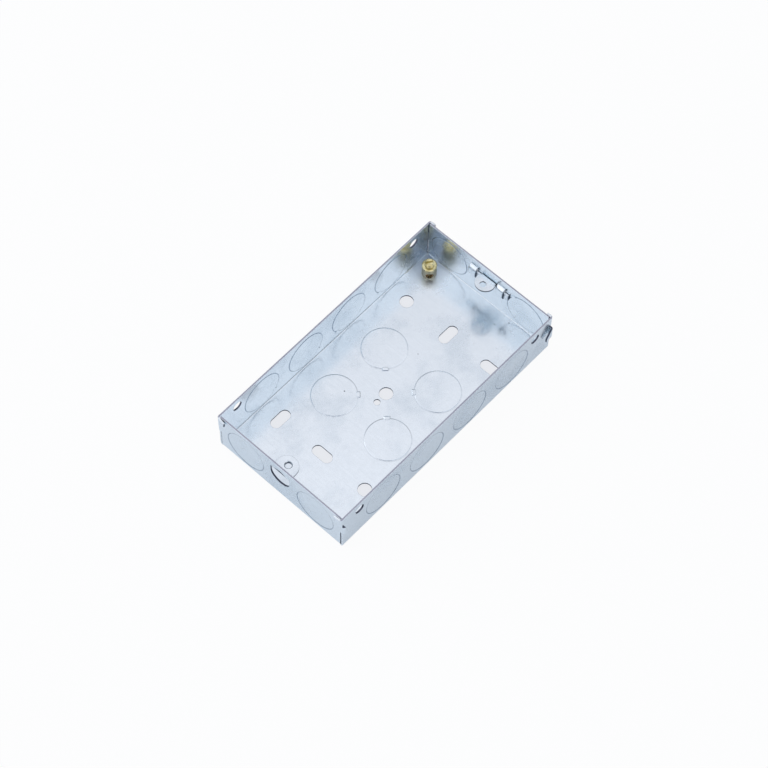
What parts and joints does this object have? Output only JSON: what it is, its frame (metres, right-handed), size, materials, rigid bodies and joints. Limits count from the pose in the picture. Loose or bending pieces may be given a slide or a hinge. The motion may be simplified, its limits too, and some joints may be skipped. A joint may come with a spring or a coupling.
{
  "type": "two-gang metal back box",
  "caption": "Flush wiring box folded from galvanised sheet steel, with knockouts, fixing slots, one fixed and one sliding faceplate lug and a brass earth terminal.",
  "frame": {"origin": "middle of the base's outer face", "axes": "+X along the box towards the sliding lug, +Y across it towards the earth terminal's long wall, +Z out of the open face"},
  "size_m": [0.1336, 0.0743, 0.025],
  "materials": {
    "galvanised_steel": "bright galvanised",
    "galvanised_lug": "bright galvanised",
    "brass_post": "turned, slightly dull",
    "brass_screw": "turned, slightly dull"
  },
  "bodies": {
    "box": {"box_body": "galvanised_steel", "earth_post": "brass_post"},
    "lug": {"adjustable_lug": "galvanised_lug"},
    "screw": {"earth_screw": "brass_screw"}
  },
  "joints": [
    {"name": "lug_slide", "type": "slide", "parent": "box", "child": "lug", "axis": [0, 1, 0], "range_m": [-0.0001, 0.0021]},
    {"name": "earth_screw_travel", "type": "slide", "parent": "box", "child": "screw", "axis": [0, 0, 1], "range_m": [-0.0022, 0.0015]}
  ]
}
